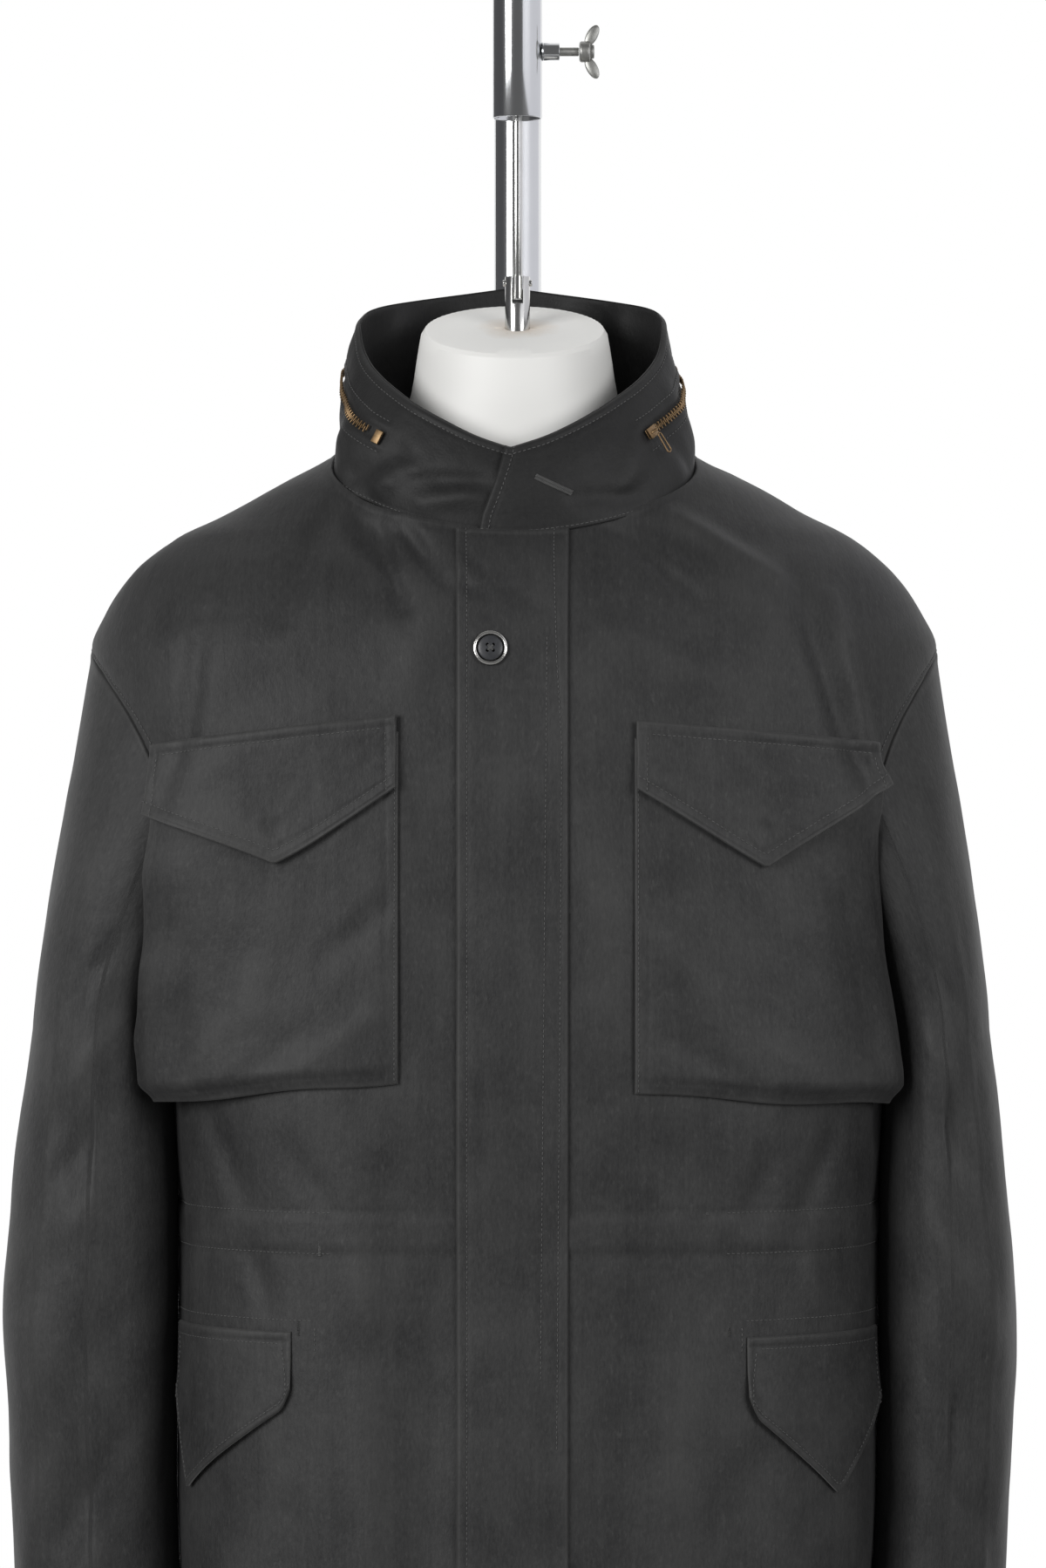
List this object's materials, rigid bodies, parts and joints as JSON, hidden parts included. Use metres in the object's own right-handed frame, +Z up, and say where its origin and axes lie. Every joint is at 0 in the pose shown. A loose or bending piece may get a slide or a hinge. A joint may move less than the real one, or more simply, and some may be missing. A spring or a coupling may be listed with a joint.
{
  "type": "field jacket on limbless display torso stand",
  "caption": "Dark washed stand-collar field jacket with bellows chest pockets and pointed flaps, on a white display torso hung from a cane-shaped floor stand.",
  "frame": {"origin": "on the base plate's underside, straight below the jacket's front closing line; the plate's middle lies 2 mm right of it and 10 mm behind", "axes": "+Z up, the jacket's front faces -Y, +X is the right of a person who faces the jacket"},
  "size_m": [0.6365, 0.47, 1.8391],
  "materials": {
    "jacket_cloth": "washed dark charcoal satin cotton, mottled, soft sheen",
    "zip_brass": "antique brass",
    "ring_metal": "worn nickel",
    "button_dark": "dark polished button",
    "white_form": "matt off-white moulded shell",
    "chrome_tube": "bright chrome plate",
    "steel_rod": "satin steel",
    "zinc": "dull zinc casting",
    "brushed_plate": "satin chromed plate"
  },
  "bodies": {
    "stand": {"stand_base": "brushed_plate", "stand_column": "chrome_tube", "stand_crook": "chrome_tube", "hang_tube": "chrome_tube", "hang_bush": "zinc", "clamp_boss": "chrome_tube"},
    "clamp_screw": {"clamp_screw": "zinc", "wing_head": "zinc"},
    "hang_rod": {"hang_rod": "steel_rod"},
    "jacket_form": {"neck_socket": "steel_rod", "display_torso": "white_form", "front_left": "jacket_cloth", "front_right": "jacket_cloth", "back": "jacket_cloth", "sleeve_left": "jacket_cloth", "sleeve_right": "jacket_cloth", "collar": "jacket_cloth", "fly": "jacket_cloth", "chest_pocket_left": "jacket_cloth", "chest_pocket_right": "jacket_cloth", "chest_flap_left": "jacket_cloth", "chest_flap_right": "jacket_cloth", "hip_flap_left": "jacket_cloth", "hip_flap_right": "jacket_cloth", "collar_zip": "zip_brass", "zip_stop": "zip_brass", "zip_slider": "zip_brass", "button_ring": "ring_metal", "button_disc": "button_dark"},
    "zip_pull": {"zip_pull": "zip_brass"}
  },
  "joints": [
    {"name": "wing_screw_turn", "type": "hinge", "parent": "stand", "child": "clamp_screw", "pos_m": [0.002, 0, 1.67], "axis": [1, 0, 0], "continuous": true},
    {"name": "rod_slide", "type": "slide", "parent": "stand", "child": "hang_rod", "axis": [0, 0, 1], "range_m": [-0.025, 0.05]},
    {"name": "form_swivel", "type": "hinge", "parent": "hang_rod", "child": "jacket_form", "pos_m": [0.002, 0, 1.52], "axis": [0, 0, 1], "range_deg": [-25, 25]},
    {"name": "pull_lift", "type": "hinge", "parent": "jacket_form", "child": "zip_pull", "pos_m": [0.08858, -0.07006, 1.42383], "axis": [-0.6575, -0.6114, -0.4404], "range_deg": [0, 120]}
  ]
}
